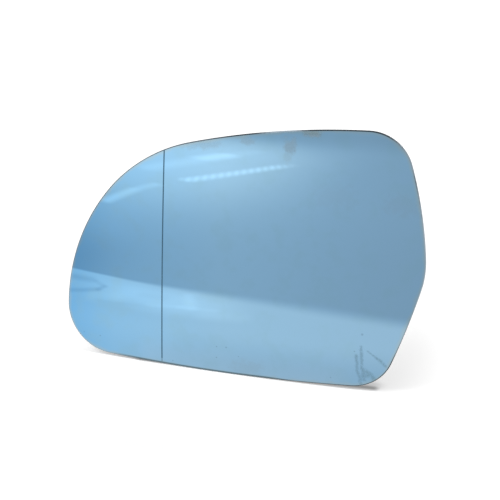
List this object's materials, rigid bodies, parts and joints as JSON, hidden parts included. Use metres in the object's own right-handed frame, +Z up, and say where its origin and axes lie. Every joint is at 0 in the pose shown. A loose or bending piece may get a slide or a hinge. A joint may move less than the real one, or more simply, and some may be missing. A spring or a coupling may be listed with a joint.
{
  "type": "car door mirror glass",
  "caption": "Left-hand car door mirror glass: blue convex mirror with an aspheric outer field, bonded to a heated, ribbed back plate with a round snap socket.",
  "frame": {"origin": "on the axis of the round snap socket, in the middle of its snap lands", "axes": "+Z up as fitted on the car, +Y out of the back along the socket axis, so the mirror looks towards -Y, and +X towards the car"},
  "size_m": [0.1864, 0.018, 0.133],
  "materials": {
    "blue_mirror": "blue mirror coating",
    "heater_film": "printed film",
    "black_plastic": "moulded, fine grain",
    "tinned_brass": "tin plated",
    "rivet_brass": "bare brass"
  },
  "bodies": {
    "root": {"mirror_glass": "blue_mirror", "heating_foil": "heater_film", "back_plate": "black_plastic", "heater_terminal_inboard": "tinned_brass", "heater_terminal_outboard": "tinned_brass", "terminal_rivets": "rivet_brass"}
  },
  "joints": []
}
